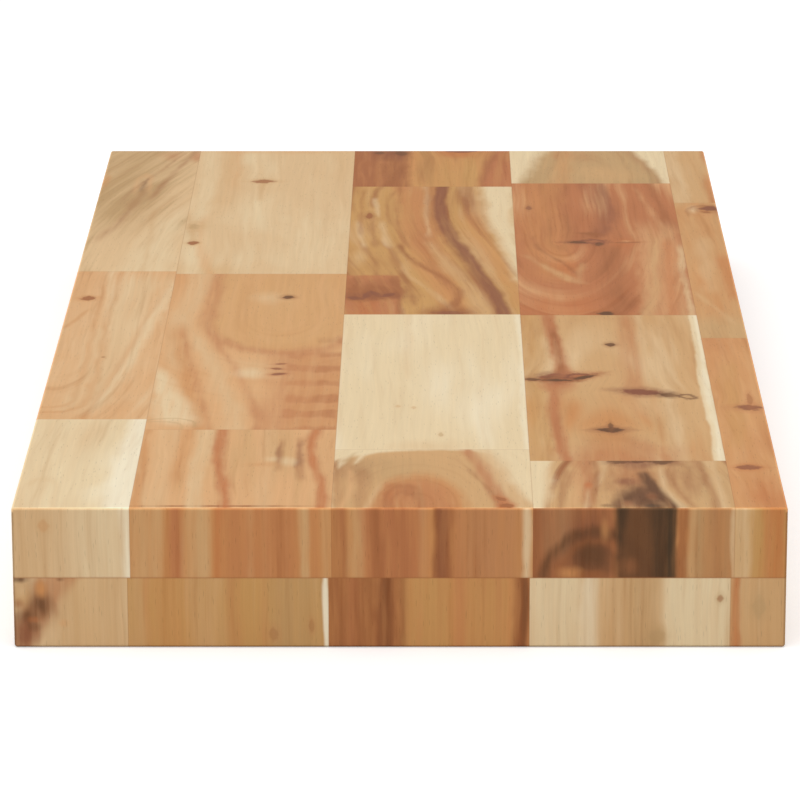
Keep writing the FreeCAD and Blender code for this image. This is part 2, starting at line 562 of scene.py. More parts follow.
FIGURES = {
    # plain sapwood with a white edge on the right
    "upper_stave_a1": figure("cream", "cream", "sand", pith=(60, 0, -50), spacing=9, contrast=0.6, marks=[
        streak("white", 1.0, [28, 29], (8, 5.6), soft=2.2), patch("white", 0.4, (26, 40), (7, 16)),
        patch("white", 0.5, (25, 12), (8, 10)), streak("sand", 0.35, [3, 5], 8, soft=4),
        arch("tan", 0.25, 7, 14, 5, 12, thick=1.4, soft=1.4)]),
    # pale orange, with slanting streaks and a round knot at the back
    "upper_stave_a2": figure("cream", "apricot", "apricot", pith=(3, 60, 19), lean=-0.3, spacing=8, marks=[
        patch("amber", 0.2, (3, 126), (12, 40)), patch("cream", 0.28, (14, 76), (26, 90)),
        streak("sand", 0.75, [14, 16, 17, 21], (10, 12), soft=5, span=(20, 140), fade=24),
        streak("amber", 0.65, [13.7, 18.4, 22.6, 27.4], 1.6, soft=1.3, span=(0, 128)),
        streak("cream", 0.5, [16.4, 21.4, 25.2, 30.2], (3, 4), soft=2, span=(14, 140), fade=14),
        streak("amber", 0.5, [1, 5.4], 1, soft=0.9, span=(97, 112), fade=6),
        arch("amber", 0.5, 3, 16, 11, -10, thick=1.6, soft=1.4),
        arch("amber", 0.4, 3, 19, 7, -8, thick=1.2)], knots=[
        knot((5.6, 127.4), (2.6, 2.6), heart="chestnut", rim="amber", strength=0.85),
        knot((14.4, 62.6), (0.7, 0.9), heart="chestnut", rim="tan", strength=0.45)]),
    # greenish, with brown streaks that bend to the right
    "upper_stave_a3": figure("sand", "sand", "olive", pith=(60, 0, -50), spacing=3.6, contrast=1.25,
                             course=(0, 3, 13, 30), marks=[
        streak("olive", 0.5, [2, 12], 34, soft=10, span=(70, 165), fade=40),
        patch("olive", 0.5, (5, 140), (12, 30)), patch("clay", 0.4, (21, 153), (6, 9)),
        patch("clay", 0.6, (29.6, 153), (3, 12)), patch("amber", 0.5, (0.6, 118), (2, 14)),
        streak("chestnut", 0.35, [6, 10, 12.6, 14.2], 3, soft=2, span=(50, 110), fade=20),
        streak("chestnut", 0.4, [18, 21, 24.4, 28], 1.8, soft=1.3, span=(100, 156), fade=14),
        streak("chestnut", 0.3, [9, 13, 18, 23], 1.4, span=(96, 150), fade=14),
        streak("umber", 0.5, [13.4, 14.6], 1.2, soft=0.9, span=(105, 121), fade=5),
        arch("apricot", 0.45, 13.6, 118, 3, 9, thick=1.4, soft=1, legs=26),
        streak("cream", 0.55, [21, 22, 26], (17, 6), soft=5, span=(-5, 66), fade=30),
        streak("tan", 0.35, [20, 19.4], 1.6, span=(-5, 70))]),
    # two reddish streaks, and dark flecks on the right
    "upper_stave_b1": figure("sand", "apricot", "tan", spacing=7, marks=[
        patch("chestnut", 0.85, (22, 1.5), (30, 0.9)), streak("amber", 0.6, 0.8, 2.4),
        streak("sand", 0.4, 6, 5, soft=2.5),
        streak("amber", 0.5, [10.6, 11.6], 3.4, soft=2, span=(30, 72), fade=22),
        streak("sand", 0.75, [16.4, 16, 16.6, 16.8], (4, 5), soft=1.6),
        streak("clay", 0.6, [24.4, 23, 20.8, 21], 3.4, soft=1.5),
        streak("rust", 0.5, [24.2, 22.8, 20.6, 20.8], 2.2),
        streak("clay", 0.6, [49.8, 48.8, 46.4, 46.6], 3, soft=1.4),
        streak("rust", 0.5, [49.8, 48.8, 46.4, 46.6], 1.8, soft=1.1),
        streak("apricot", 0.5, [46.6, 45, 43, 43], 2.4, soft=1.4), streak("sand", 0.3, 34, 4, soft=2),
        streak("chestnut", 0.5, [37.2, 37.6], 1.6, soft=1, span=(36, 57), fade=6),
        streak("plum", 0.4, [37.1, 37.4], 1, soft=0.8, span=(42, 54), fade=6),
        streak("chestnut", 0.5, [43.2, 43], 1.8, soft=1, span=(28, 58), fade=8),
        streak("plum", 0.55, [43, 43.2], 1.6, soft=0.9, span=(40, 55), fade=6),
        patch("cream", 0.5, (39.8, 41), (3, 5)), patch("cream", 0.4, (35, 43), (2.4, 3)),
        patch("amber", 0.4, (33, 38), (6, 3))]),
    # arches round a knot, slanting streaks, and cross bars on the right
    "upper_stave_b2": figure("sand", "apricot", "amber", pith=(34, 112, 19), lean=-0.62, spacing=10,
                             contrast=0.45, veins=0.25, marks=[
        arch("honey", 0.35, 34, 112, 22.5, -35, soft=3.5),
        arch("clay", 0.5, 35, 112, 24.6, -38, thick=4, soft=2.4),
        arch("amber", 0.18, 36, 106, 15, -26, thick=2.4, soft=2.4),
        streak("clay", 0.4, [44, 44, 42], (32, 20), soft=4, span=(-5, 70)),
        streak("amber", 0.35, 46, 16, soft=3, span=(-5, 70)),
        streak("sand", 0.6, [5.4, 5, 6, 8], (7, 6), soft=2.4, span=(70, 168), fade=20),
        streak("apricot", 0.5, [24, 20.6, 14.6, 9], (11, 8), soft=3, span=(-5, 96), fade=18),
        streak("sand", 0.6, [24.6, 21.4, 15.6, 10], (6, 4), soft=2.4, span=(-5, 92), fade=18),
        streak("clay", 0.4, [30, 27.6, 21.4, 14.8], 2, soft=1.8, span=(0, 92), fade=18),
        streak("amber", 0.6, [15.6, 11.4, 7.6, 5], (5, 5), soft=2.2, span=(-5, 92), fade=24),
        streak("clay", 0.3, [17.6, 13.4, 9.4, 6.4], 1.6, soft=1.4, span=(0, 92), fade=24),
        streak("cream", 0.7, [8, 5.6, 2.8, 0], (11, 4), soft=2.8, span=(12, 58)),
        arch("olive", 0.5, 6, 6, 8, 5, thick=1, soft=0.8, legs=6),
        arch("olive", 0.4, 3, 3, 7, 5, thick=0.9, soft=0.8, legs=6),
        ripples("clay", 0.4, 37, 53, 15.3, (-5, 74)), ripples("chestnut", 0.2, 45, 53, 15.3, (-5, 90)),
        patch("cream", 0.3, (29.4, 138), (6, 8)), patch("cream", 0.5, (26, 55.6), (5, 7))], knots=[
        knot((34.9, 138.7), (2, 2.2), strength=0.9, push=0.2),
        knot((34.6, 55), (2.4, 1.5), turn=14, heart="plum", rim="clay", strength=0.8, push=0.15),
        knot((34, 60.4), (2.2, 1.2), turn=-14, heart="plum", rim="clay", strength=0.7, push=0.1),
        knot((34.8, 65.4), (2, 1), turn=10, heart="plum", rim="clay", strength=0.6, push=0.1)]),
    # nearly sapwood, with a pointed knot at the back and two at the left side
    "upper_stave_b3": figure("cream", "sand", "sand", spacing=12, contrast=0.9, veins=0.4, marks=[
        patch("cream", 0.45, (40, 30), (18, 50)), patch("cream", 0.4, (22, 78), (14, 30)),
        streak("tan", 0.4, [10, 12], 9, soft=4, span=(95, 160), fade=30),
        streak("apricot", 0.4, 13, 3, soft=2, span=(118, 160), fade=16),
        patch("apricot", 0.5, (26, 163), (34, 6)), patch("honey", 0.25, (9, 4), (14, 12)),
        patch("tan", 0.3, (46, 140), (6, 26)), streak("cream", 0.5, [4.6, 4.6, 4], 5, soft=2.4),
        streak("apricot", 0.55, [10.6, 6.4, 5, 5.6], 3, soft=1.8, span=(0, 62), fade=16),
        streak("tan", 0.4, [2.6, 1], 1.6, soft=1, span=(44, 74)),
        streak("tan", 0.5, 22.8, 1.8, soft=1.1, span=(98, 114), fade=8)], knots=[
        knot((22.8, 119.4), (4.4, 3.4), heart="chestnut", rim="tan", strength=0.8, pointed=0.7),
        knot((3.2, 38.2), (2, 2.6), heart="chestnut", rim="tan", strength=0.9),
        knot((3, 58), (3.4, 10), heart="tan", rim="olive", strength=0.35, push=0.1, eye=0.7)]),
    # rings that close in an arch, with sapwood behind and on the right
    "upper_stave_c1": figure("tan", "tan", "olive", pith=(22, 4, 19), lean=0.5, contrast=0.9, veins=0.6,
                             marks=[
        patch("chestnut", 0.4, (5, 34), (9, 12)), patch("olive", 0.5, (14, 34), (16, 14)),
        streak("chestnut", 0.3, [1.4, 1.6, 1.4], 3, soft=1.6, span=(-5, 40)),
        streak("apricot", 0.6, [1.8, 3.6, 5, 5.2], 1.8, soft=1, span=(-2, 30), fade=8),
        streak("chestnut", 0.3, [6.4, 7.6, 8.4], 3.4, soft=1.6, span=(-5, 30), fade=8),
        streak("sand", 0.55, [8.4, 9.6, 10.8, 12], 1.6, soft=0.9, span=(-2, 16), fade=8),
        arch("amber", 0.75, 22.6, 0, 12.8, 31, soft=2.4, pointed=0.2),
        arch("clay", 0.55, 21.6, 0, 10.8, 26, soft=3, pointed=0.2),
        patch("rust", 0.35, (14.6, 12), (3, 10)),
        arch("chestnut", 0.42, 18.4, 6, 5.6, 15.4, thick=1.6, soft=1.1, legs=14),
        arch("chestnut", 0.4, 18.8, 4, 4, 12, thick=1.3, soft=1, legs=10),
        arch("cream", 1.0, 27, 34.6, 28, 16.6, soft=2.4, outside=True),
        streak("cream", 0.8, [6.6, 8.8], (1, 2.6), soft=1, span=(40, 50), fade=4),
        streak("cream", 0.7, [2.4, 3.6], (0.6, 2), soft=0.9, span=(36, 44), fade=4),
        streak("olive", 0.5, [4.4, 5.8], (1.6, 0.6), soft=0.9, span=(42, 48), fade=3),
        streak("cream", 1.0, [53.4, 50.8, 49.6, 46.5], (1, 15), soft=2.4),
        streak("sand", 0.6, [49, 44.6, 42, 39.4], 6, soft=2.4),
        streak("clay", 0.65, [44.4, 42, 39.2, 35.6], (4, 3), soft=1.5),
        streak("chestnut", 0.4, [44.8, 42.4, 39.6, 36], (1.6, 1), soft=1.1, span=(-5, 34), fade=14),
        patch("clay", 0.6, (44.4, 4), (3, 7))], knots=[
        knot((43.8, 7.6), (1.2, 2.4), turn=30, heart="chestnut", rim="rust", strength=0.7, push=0.1),
        knot((45.2, 1.8), (2.2, 2), turn=30, heart="chestnut", rim="rust", strength=0.8, push=0.1)]),
    # the palest stave
    "upper_stave_c2": figure("white", "cream", "cream", spacing=12, contrast=0.5, veins=0.5, marks=[
        streak("sand", 0.35, 19, 2, soft=1.4, span=(75, 135)), patch("sand", 0.5, (25, 3), (12, 8)),
        streak("white", 0.5, 51.2, 1.6, soft=0.8)], knots=[
        knot((28.4, 14), (0.8, 2.4), heart="olive", rim="sand", strength=0.5),
        knot((16.5, 41), (1, 1.6), heart="tan", rim="sand", strength=0.4),
        knot((21, 40), (0.8, 1.4), heart="tan", rim="sand", strength=0.4)]),
    # dark streaks on curves, sapwood on the right, and a reddish front corner with knots
    "upper_stave_c3": figure("tan", "honey", "chestnut", contrast=1.05, course=(16, 9, 1.2, 0), marks=[
        streak("honey", 0.6, [10, 8, 7, 8], (8, 15), soft=2.6, span=(50, 165)),
        streak("amber", 0.7, [34, 26, 22, 22], (10, 16), soft=3, span=(10, 165)),
        streak("clay", 0.35, [24, 22, 21], (6, 16), soft=4, span=(84, 165), fade=20),
        streak("chestnut", 0.45, [17.6, 15, 14.8, 15], 1.6, span=(88, 165)),
        streak("sand", 0.5, [25, 24, 23.6], (1.4, 2.4), soft=1, span=(100, 165)),
        streak("tan", 0.75, [41.6, 38.6, 32, 26.4], (8, 3), soft=2, span=(-5, 80)),
        streak("chestnut", 0.6, [33.6, 31.8, 22.5, 16.4], (3, 1.8), span=(12, 80), fade=8),
        streak("chestnut", 0.5, [20.4, 18.4, 15.9, 11.9], 1.8, span=(14, 82), fade=8),
        streak("chestnut", 0.5, [9.4, 9, 7, 4.4], 1.8, span=(48, 82), fade=8),
        streak("tan", 0.75, [32.4, 27.4, 21.4, 17.9], 1.8, soft=1.3, span=(4, 54)),
        patch("sand", 0.45, (4, 66), (3.4, 12)), patch("honey", 0.7, (12.4, 52), (5, 10)),
        streak("sand", 0.65, [4.6, 3.6, 2.4], 1.8, soft=1, span=(84, 108), fade=8),
        streak("sand", 0.65, [12, 11, 10.4], 1.8, soft=1, span=(84, 108), fade=8),
        streak("chestnut", 0.4, [8.2, 7.4, 7], 1.6, span=(84, 116), fade=8),
        streak("chestnut", 0.6, [6.2, 7, 9.8], 1.6, soft=1, span=(134, 162), fade=6),
        streak("sand", 0.6, [8.2, 7.4, 7], 1.4, soft=0.8, span=(122, 140), fade=6),
        streak("chestnut", 0.4, [3.6, 2.6, 3.4], 1.4, soft=0.9, span=(100, 150), fade=10),
        streak("chestnut", 0.35, [12.4, 11, 13], 1.4, soft=1.1, span=(112, 150), fade=8),
        streak("amber", 0.5, [51, 46.4, 41, 40], (4, 9), soft=2.2, span=(20, 120), fade=20),
        streak("tan", 0.6, [48, 44.6, 40.4, 38], (3, 9), soft=2.2, span=(80, 165), fade=20),
        patch("chestnut", 0.3, (37.4, 140), (2.4, 26)),
        streak("cream", 0.97, [52.6, 50.2, 48, 47.2], (3, 11.4), soft=3.2, span=(46, 165), fade=30),
        streak("chestnut", 0.5, [47.4, 38.8, 29.6, 27.8], (4.6, 7.4), soft=1.8),
        streak("plum", 0.7, [47.8, 39.1, 30.4, 29], (3.6, 4), soft=1),
        streak("tan", 0.4, [43.4, 38.4, 35.4], 0.8, soft=0.8, span=(58, 125)),
        streak("clay", 0.8, 8, 16.5, span=(-5, 44), fade=3),
        streak("rust", 0.4, 6, 6, soft=2, span=(-5, 18)),
        streak("chestnut", 0.6, [17, 15.6, 15], 2, soft=1, span=(-5, 43), fade=3),
        streak("chestnut", 0.5, [3, 3.4], 1.6, soft=1, span=(20, 43), fade=3),
        patch("chestnut", 0.8, (8, 28), (13, 14)), patch("plum", 0.5, (8, 21), (13, 5)),
        patch("chestnut", 0.85, (31, 3), (10, 10))], knots=[
        knot((6, 119.6), (1.2, 4), heart="chestnut", strength=0.85),
        knot((3, 18.6), (3.6, 2), turn=-24, heart="plum", strength=0.85, push=0.1),
        knot((6.6, 22.4), (1.5, 6), turn=-12, heart="plum", strength=0.8, push=0.1),
        knot((9.4, 22.6), (1.5, 5), turn=22, heart="plum", strength=0.75, push=0.1),
        knot((12.8, 22), (3.6, 2), turn=50, heart="plum", strength=0.85, push=0.1),
        knot((31, 1.8), (5.6, 2.4), heart="plum", strength=0.6)]),
    # dark on both sides and yellow between
    "upper_stave_c4": figure("honey", "amber", "chestnut", contrast=1.0, marks=[
        streak("honey", 0.6, [30, 31], 22, soft=3.5), streak("clay", 0.85, 5, 13, soft=1.6),
        streak("chestnut", 0.6, 4, 12, soft=2), streak("amber", 0.5, 9.6, 2.6, soft=1.4),
        streak("chestnut", 0.8, [14, 14.4], 9, soft=2.2), patch("plum", 0.5, (12, 46), (9, 12)),
        streak("clay", 0.9, [47.6, 47.8, 49, 51], (12, 8), soft=1.4),
        streak("chestnut", 0.5, [42, 42.6, 44.6, 47], 2.4, soft=1.4),
        patch("rust", 0.7, (34, 46), (7, 8))], knots=[
        knot((36, 50.4), (6, 2.4), heart="plum", rim="rust", strength=0.85),
        knot((8.4, 47.6), (2.2, 2.2), rim="plum", strength=0.6),
        knot((15.4, 47), (2.6, 4), rim="plum", strength=0.6)]),
    # a dark forked streak in the middle, with sapwood on the left
    "upper_stave_d1": figure("tan", "tan", "chestnut", pith=(31, 0, 19), lean=0.35, spacing=5, contrast=1.0,
                             veins=0.6, marks=[
        patch("chestnut", 0.5, (28, 26), (18, 22)), patch("olive", 0.4, (46, 20), (9, 30)),
        patch("clay", 0.4, (27, 30), (8, 10)),
        streak("clay", 0.6, [14, 14.2, 14], (4, 6), soft=2, span=(8, 44)),
        streak("chestnut", 0.4, [7.4, 8.2, 9, 9.4], 1.8),
        streak("apricot", 0.5, [10.4, 11.6, 12.6], 2.4, span=(4, 24)),
        streak("chestnut", 0.65, [16.4, 17.2, 17.6, 16.6], 1.4, soft=0.9, span=(12, 44)),
        patch("rust", 0.6, (14.8, 19), (1.4, 4)),
        streak("sand", 0.6, [18.6, 19.4, 19], (1.6, 2.6), span=(26, 44)),
        streak("sand", 0.6, [13.4, 14.2], 1.2, soft=0.9, span=(-2, 9)),
        patch("plum", 0.6, (25, 23), (3.6, 3.6)), patch("plum", 0.7, (29.4, 37), (6, 5)),
        patch("plum", 0.75, (27.6, 7), (7, 10)),
        arch("umber", 0.85, 26.8, -4, 6.6, 20.6, thick=3.2, soft=1.5),
        streak("umber", 0.9, [36.2, 34, 31.6, 30], (4.4, 3), soft=1.3, span=(-2, 29), fade=5),
        patch("umber", 0.75, (28, 3.6), (3, 5.4)), patch("walnut", 0.6, (30.6, 1.8), (2, 2)),
        patch("clay", 0.25, (24.2, 3.6), (2.4, 4)), patch("clay", 0.22, (31, 9.6), (1.8, 4)),
        patch("umber", 0.5, (19.2, 2), (2.2, 1.6)),
        streak("sand", 0.8, [38.2, 36, 34.6, 34.4], 1.8, soft=1.1, span=(-2, 32), fade=8),
        streak("chestnut", 0.45, [40.4, 38, 37, 37.4], 1.8, span=(2, 38), fade=8),
        patch("chestnut", 0.4, (41.6, 22), (3.4, 14)),
        streak("chestnut", 0.5, [46.6, 46.6, 46, 44.6], 2, span=(2, 40)),
        streak("sand", 0.6, [48.8, 48.6, 48.4], 2, soft=1.1, span=(2, 44)),
        streak("cream", 1.0, [0.7, 1.2, 1.4, 1.2], (5.4, 8), soft=2.6)], knots=[
        knot((23.6, 41), (3.4, 2.6), rim="plum", strength=0.75, push=0.1, pointed=0.0),
        knot((28.6, 41.2), (2.6, 2.2), rim="plum", strength=0.85, push=0.1, pointed=0.0),
        knot((34.6, 41), (4.2, 3), rim="plum", strength=0.85, push=0.1, pointed=0.0)]),
    # a row of dark knots along cracks in the grain, and a white edge on the right
    "upper_stave_d2": figure("sand", "tan", "amber", pith=(22, 70, -20), contrast=1.1, sway=2.4, ripple=0.6,
                             marks=[
        streak("honey", 0.5, 3, 6, soft=2.4),
        streak("clay", 0.5, [30.4, 30, 30.6], (7, 5), soft=2.2, span=(72, 140), fade=20),
        streak("sand", 0.5, [34.6, 34.4, 34.4], 2.4, span=(80, 150), fade=16),
        streak("tan", 0.5, [23, 22, 22], 12, soft=3, span=(84, 150), fade=20),
        streak("sand", 0.5, [40.6, 39.8, 38.6], 4, soft=1.6, span=(-5, 130)),
        streak("amber", 0.45, [36.6, 36, 35.6], 1.6, span=(-5, 60)),
        patch("clay", 0.6, (24, 3), (22, 20)),
        streak("clay", 0.85, [10.6, 10, 8.7, 8], (5, 3.6), soft=1.3, span=(80, 150)),
        streak("chestnut", 0.7, [10.4, 9.3], 2, soft=1.1, span=(92, 124)),
        streak("clay", 0.8, [10.2, 7.8, 7.4, 9.6], (2.6, 4), soft=1.3, span=(-2, 77)),
        patch("clay", 0.8, (9, 73), (6, 10)), patch("sand", 0.4, (34, 50), (7, 16)),
        streak("cream", 1.0, 50.8, 3.2, soft=0.5), streak("white", 0.6, 51.2, 1.6, soft=0.8)], knots=[
        knot((9, 80.6), (5.4, 4.4), heart="plum", rim="plum", eye=0.3),
        knot((8, 80), (3, 2.4), turn=20, strength=0.5, push=0.1),
        knot((15.2, 82), (6, 3.6), turn=24, heart="plum", rim="clay", push=0.1, pointed=0.4, eye=0.8),
        knot((16.6, 80.4), (5.4, 1.6), turn=38, push=0.1), knot((9, 77.6), (5.4, 1.5), turn=-4, push=0.1),
        knot((2.4, 78.4), (3.4, 1.5), turn=-10, strength=0.8, push=0.1),
        knot((32.8, 65.6), (7, 3.4), turn=-16, heart="plum", rim="plum", pointed=0.4),
        knot((40, 62.6), (3.4, 2.2), turn=-20, rim="umber", push=0.1, pointed=0.4),
        knot((44.8, 61), (3.8, 3), turn=-28, rim="tan", strength=0.7, push=0.1, eye=0.8),
        knot((25.4, 115), (1.6, 2.4), strength=0.9),
        knot((22.6, 28.8), (4.4, 3), rim="plum", pointed=0.7),
        knot((22.6, 32.4), (1, 3.6), strength=0.7, push=0.1, pointed=0.6)]),
    # the reddest stave, with arches in front of a long knot
    "upper_stave_d3": figure("apricot", "clay", "chestnut", pith=(14, 92, 19), lean=-0.28, marks=[
        streak("amber", 0.55, [10, 9, 10], 14, soft=4, span=(50, 164), fade=20),
        streak("plum", 0.4, [25.6, 29, 28, 25.6], (6, 9), soft=2.6, span=(98, 165)),
        streak("plum", 0.35, [28, 30.4, 29.4], 1.8, span=(100, 165)),
        streak("apricot", 0.4, [45.4, 43.4, 41.4], 1.6, soft=1.5, span=(112, 150)),
        streak("chestnut", 0.5, [49, 47, 45.6], 2.4, soft=1.4, span=(110, 165)),
        streak("chestnut", 0.45, [26.6, 29.4, 29, 27.6], (8, 7), soft=3, span=(-5, 78), fade=10),
        patch("rust", 0.5, (14.4, 56), (6, 11)),
        streak("apricot", 0.55, [44, 44], 14, soft=3, span=(-5, 96), fade=24),
        streak("chestnut", 0.55, [17.6, 12.6, 7.6, 5.2], 1.4, soft=1.1, span=(50, 90), fade=8),
        streak("tan", 0.6, [18, 12.2, 7.2, 3.4], (4, 2.4), soft=1.7, span=(39, 68), fade=5),
        streak("tan", 0.5, [18.8, 19.8], 2.2, soft=1.3, span=(39, 58), fade=6),
        arch("clay", 0.5, 13, 58, 11, -33, thick=4, soft=2.6, legs=20),
        patch("rust", 0.5, (13, 8), (15, 20)),
        streak("tan", 0.55, [36.4, 40.6, 42.2, 43.2], (4, 2.6), soft=2.2, span=(-2, 88), fade=10),
        streak("rust", 0.4, [44.6, 46.4, 46.8], 3, soft=1.6, span=(-5, 84)),
        streak("sand", 0.7, [51, 51], 1.8, soft=0.9, span=(-5, 74), fade=14),
        patch("chestnut", 0.5, (22.8, 90), (7, 10)), patch("rust", 0.4, (33, 85.6), (6, 8)),
        patch("apricot", 0.55, (34, 87.4), (2.2, 2.4))], knots=[
        knot((24, 87.6), (6.4, 3.6), heart="plum", rim="clay", strength=0.85, push=0.2, eye=0.7),
        knot((34.4, 86.4), (5.4, 1.3), turn=6, heart="chestnut", rim="clay", strength=0.6, push=0.1),
        knot((18.8, 86.8), (3.6, 1.9), rim="plum", strength=0.8, push=0.1),
        knot((26, 84.4), (1.6, 2.4), rim="plum", strength=0.7, push=0.1),
        knot((23.6, 97.4), (3.6, 1.7), turn=-14, heart="chestnut", strength=0.7, push=0.1),
        knot((25.4, 1.6), (3.2, 2.6)), knot((5, 131), (1, 3), heart="plum", strength=0.6)]),
    # brown in the middle and sapwood on both sides
    "upper_stave_d4": figure("tan", "olive", "olive", pith=(26, -10, 19), lean=0.16, contrast=1.1, marks=[
        streak("tan", 0.35, 26, 30, soft=6), patch("tan", 0.6, (32, 12), (12, 14)),
        streak("amber", 0.4, [17, 18], 5, soft=2.4), patch("clay", 0.25, (22, 40), (9, 12)),
        streak("chestnut", 0.28, [48.4, 47.4, 43.4, 39], 4, soft=2.6),
        streak("cream", 1.0, [-1, 0.2, 3.4], (8, 16), soft=3.4),
        streak("cream", 1.0, [53.4, 53, 51, 48.5], (6, 15), soft=1.8)]),
    # orange, with two pointed knots
    "upper_stave_e1": figure("apricot", "apricot", "clay", pith=(-40, 0, -50), spacing=7, contrast=0.7,
                             marks=[
        patch("clay", 0.5, (3, 158), (10, 14)), streak("amber", 0.6, 7, 20, soft=5),
        streak("honey", 0.4, [5, 6], 5, soft=2, span=(60, 130)), patch("rust", 0.45, (11, 8), (8, 22))],
        knots=[
        knot((9.4, 91.6), (4.6, 3.6), heart="plum", rim="clay", strength=0.8, pointed=0.5),
        knot((10, 99), (1, 7), heart="chestnut", rim="clay", strength=0.5, push=0.1),
        knot((6, 35.4), (3.6, 2.6), heart="plum", rim="rust", strength=0.75, pointed=0.4)]),
    # a reddish streak on the right, and a knot at the back
    "upper_stave_e2": figure("tan", "tan", "amber", pith=(-40, 0, -50), marks=[
        streak("rust", 0.6, [12.8, 12.2], 4, soft=1.8, span=(50, 88)),
        streak("amber", 0.5, 6, 20, soft=4, span=(30, 150), fade=20),
        patch("olive", 0.4, (7, 8), (12, 20)), streak("sand", 0.4, [6, 7], 4, soft=2.4, span=(58, 112)),
        streak("sand", 0.25, [10, 3], 1.6, soft=1, span=(20, 46), fade=8),
        patch("amber", 0.5, (8, 155), (9, 11)), patch("cream", 0.45, (6.4, 154.4), (2.4, 6)),
        arch("chestnut", 0.5, 9.6, 152, 5.4, 8, thick=1.2, soft=0.9, legs=10)], knots=[
        knot((11.4, 155.4), (3.8, 3.4), heart="plum", strength=0.9),
        knot((9.4, 150.6), (2, 1.2), turn=-30, heart="chestnut", strength=0.6, push=0.1)]),
    # plain, with reddish lines on the right
    "upper_stave_e3": figure("sand", "tan", "amber", pith=(-40, 0, -50), contrast=0.7, marks=[
        streak("rust", 0.5, 12.8, 2, span=(-5, 30)), streak("sand", 0.6, [3, 2.4], 5, soft=1.8),
        streak("rust", 0.5, 13.4, 1.6, span=(60, 75))]),
    # a dark corner on the left of the front end
    "lower_stave_a1": figure("sand", "tan", "honey", pith=(60, 0, -40), marks=[
        patch("chestnut", 0.6, (3, 2), (9, 10)), patch("umber", 0.6, (2, 1), (5, 7))]),
    # yellow, with a white edge on the right
    "lower_stave_b1": figure("tan", "honey", "amber", pith=(70, 0, -40), marks=[
        streak("clay", 0.4, [27, 25, 24], 3, soft=1.6), streak("olive", 0.4, 44, 14, soft=4),
        streak("white", 1.0, 51.3, 1.6, soft=0.5)]),
    # brown on both sides and yellow between
    "lower_stave_c1": figure("honey", "amber", "clay", pith=(100, 0, -20), marks=[
        streak("chestnut", 0.7, [5.6, 7], 13, soft=2), streak("chestnut", 0.8, [16, 18], 6, soft=1.6),
        streak("honey", 0.5, 30, 20, soft=4), streak("chestnut", 0.8, [49.8, 48], 4.4)]),
    # sapwood with a tan band in the middle
    "lower_stave_d1": figure("cream", "sand", "tan", pith=(26, -60, -24), lean=0.05, marks=[
        streak("tan", 0.7, [26, 30, 28], 17, soft=3), streak("cream", 0.6, 44, 14, soft=3)]),
    # tan, with a reddish line on the left
    "lower_stave_e1": figure("sand", "tan", "honey", pith=(-40, 0, -50), marks=[
        streak("rust", 0.6, [1.6, 2.4], 2)]),
}


# The hidden staves of the lower layer, by their wood. The ones not listed are tan.

PLAIN_FIGURES = {
    "golden": figure("tan", "honey", "amber", pith=(70, 0, -40), marks=[
        streak("clay", 0.5, [20, 26, 24], 4, soft=1.6)]),
    "tan": figure("sand", "tan", "olive", pith=(26, -40, -24), lean=0.06, spacing=4.5, contrast=1.0, knots=[
        knot((34, 60), (5, 4), heart="chestnut", pointed=0.6)]),
    "brown": figure("honey", "amber", "chestnut", pith=(100, 0, -20), contrast=1.0, marks=[
        streak("plum", 0.5, [12, 15, 11], 3)]),
    "cream": figure("cream", "sand", "tan", pith=(30, 190, -34), lean=-0.06, contrast=0.9),
    "red": figure("amber", "clay", "chestnut", pith=(-30, 0, -30), lean=0.05, contrast=0.9, knots=[
        knot((20, 110), (7, 4), turn=12, pointed=0.8, eye=0.5)]),
}
PLAIN_STAVES = {
    "golden": ("a2", "c2", "d3", "e2"),
    "brown": ("a3", "e3"),
    "cream": ("b3",),
    "red": ("b4", "d2"),
}


# The sawn front ends, where they differ from the grain behind them

